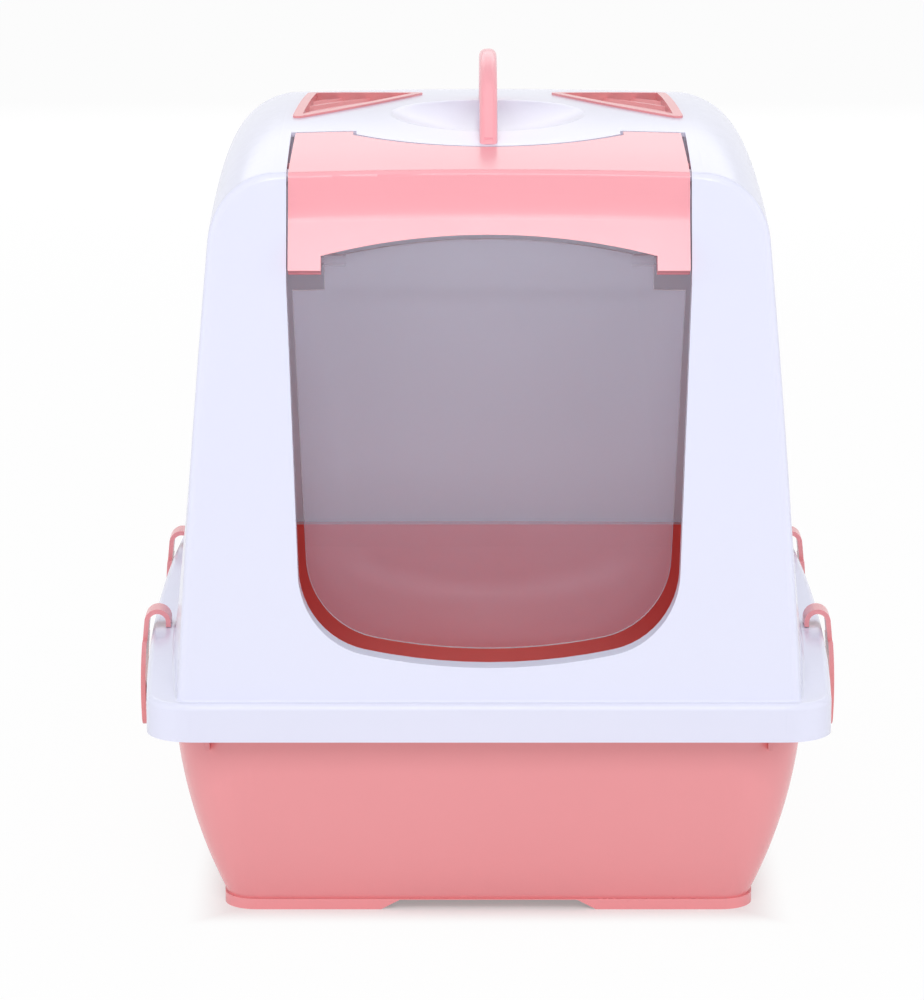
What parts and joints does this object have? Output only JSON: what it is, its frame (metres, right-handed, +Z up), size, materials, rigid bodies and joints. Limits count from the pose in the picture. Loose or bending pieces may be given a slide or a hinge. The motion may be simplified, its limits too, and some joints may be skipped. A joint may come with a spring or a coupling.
{
  "type": "hooded cat litter box",
  "caption": "Hooded cat litter box: bowed tray, white hood with a hinged roof flap, swing door, carry handle, roof vents and side latches.",
  "frame": {"origin": "on the floor, under the middle of the hood's rim", "axes": "+X to the right seen from the front, +Y to the back, +Z up; the doorway faces -Y"},
  "size_m": [0.4018, 0.476, 0.461],
  "materials": {
    "pink_plastic": "glossy bright pink moulded polypropylene",
    "white_plastic": "glossy cool white moulded polypropylene",
    "smoky_plastic": "clear grey-tinted sheet, see-through"
  },
  "bodies": {
    "box": {"tray": "pink_plastic", "hood": "white_plastic", "handle": "pink_plastic", "vent_left": "pink_plastic", "vent_right": "pink_plastic"},
    "flap": {"flap": "pink_plastic"},
    "door": {"door": "smoky_plastic"},
    "latch_front_left": {"latch_front_left": "pink_plastic"},
    "latch_front_right": {"latch_front_right": "pink_plastic"},
    "latch_rear_left": {"latch_rear_left": "pink_plastic"},
    "latch_rear_right": {"latch_rear_right": "pink_plastic"}
  },
  "joints": [
    {"name": "flap_hinge", "type": "hinge", "parent": "box", "child": "flap", "pos_m": [0, -0.127, 0.40744], "axis": [-1, 0, 0], "range_deg": [0, 85]},
    {"name": "door_swing", "type": "hinge", "parent": "flap", "child": "door", "pos_m": [0, -0.16541, 0.362], "axis": [1, 0, 0], "range_deg": [-70, 70]},
    {"name": "latch_front_left_hinge", "type": "hinge", "parent": "box", "child": "latch_front_left", "pos_m": [-0.19246, -0.055, 0.088], "axis": [0, -1, 0], "range_deg": [0, 80]},
    {"name": "latch_front_right_hinge", "type": "hinge", "parent": "box", "child": "latch_front_right", "pos_m": [0.19246, -0.055, 0.088], "axis": [0, 1, 0], "range_deg": [0, 80]},
    {"name": "latch_rear_left_hinge", "type": "hinge", "parent": "box", "child": "latch_rear_left", "pos_m": [-0.19014, 0.15, 0.088], "axis": [0, -1, 0], "range_deg": [0, 80]},
    {"name": "latch_rear_right_hinge", "type": "hinge", "parent": "box", "child": "latch_rear_right", "pos_m": [0.19014, 0.15, 0.088], "axis": [0, 1, 0], "range_deg": [0, 80]}
  ]
}
